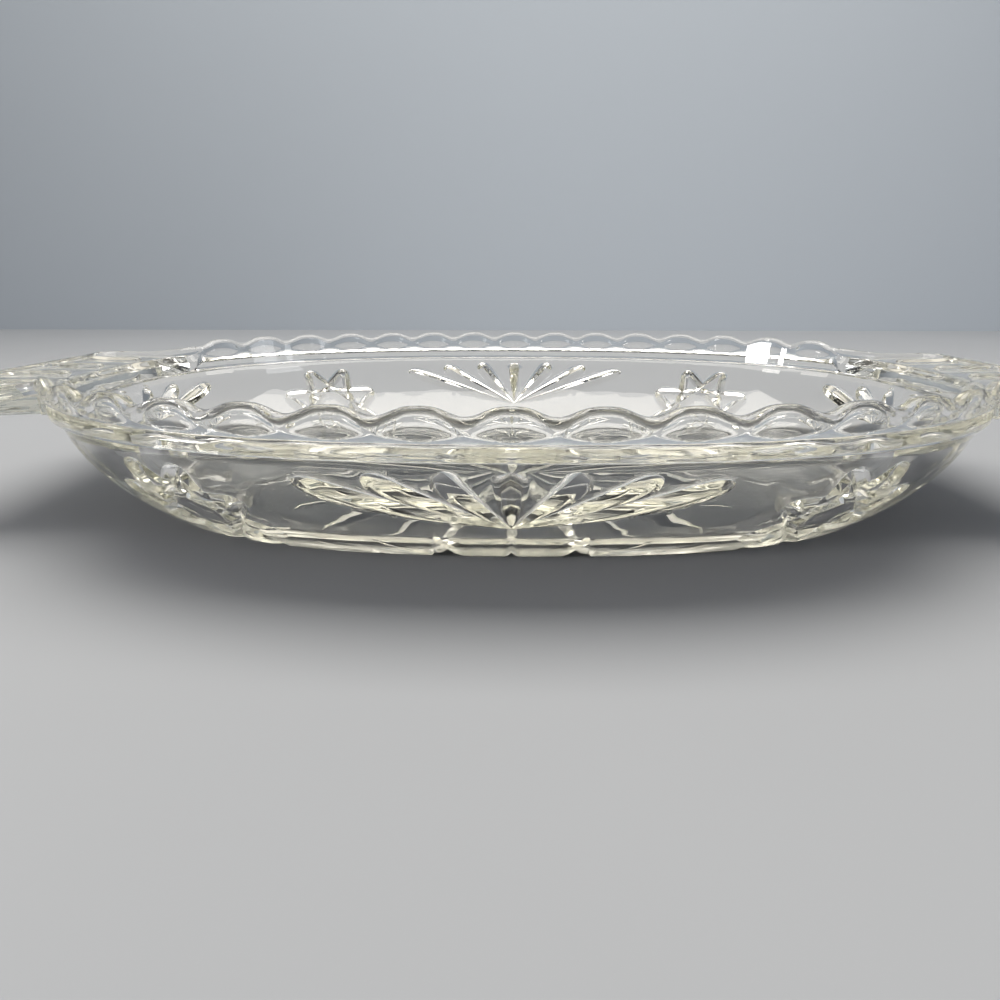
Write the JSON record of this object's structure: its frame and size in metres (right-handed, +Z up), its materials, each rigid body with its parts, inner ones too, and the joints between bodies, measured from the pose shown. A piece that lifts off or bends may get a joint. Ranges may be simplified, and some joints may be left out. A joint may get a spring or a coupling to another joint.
{
  "type": "relish tray",
  "caption": "Oval tray of clear pressed glass for relishes, with sloping cut walls, a scalloped collar, a ribbed tab handle at each end and a flat foot.",
  "frame": {"origin": "centre of the resting face, on the surface that the tray stands on", "axes": "+X along the tray towards the right handle, +Y across the tray away from the viewer of the picture, +Z up"},
  "size_m": [0.249, 0.144, 0.0344],
  "materials": {
    "glass": "clear colourless pressed glass, fire-polished, with crisp mitre cuts on the outside"
  },
  "bodies": {
    "root": {"base": "glass", "bowl": "glass", "scalloped_rim": "glass", "left_handle": "glass", "right_handle": "glass"}
  },
  "joints": []
}
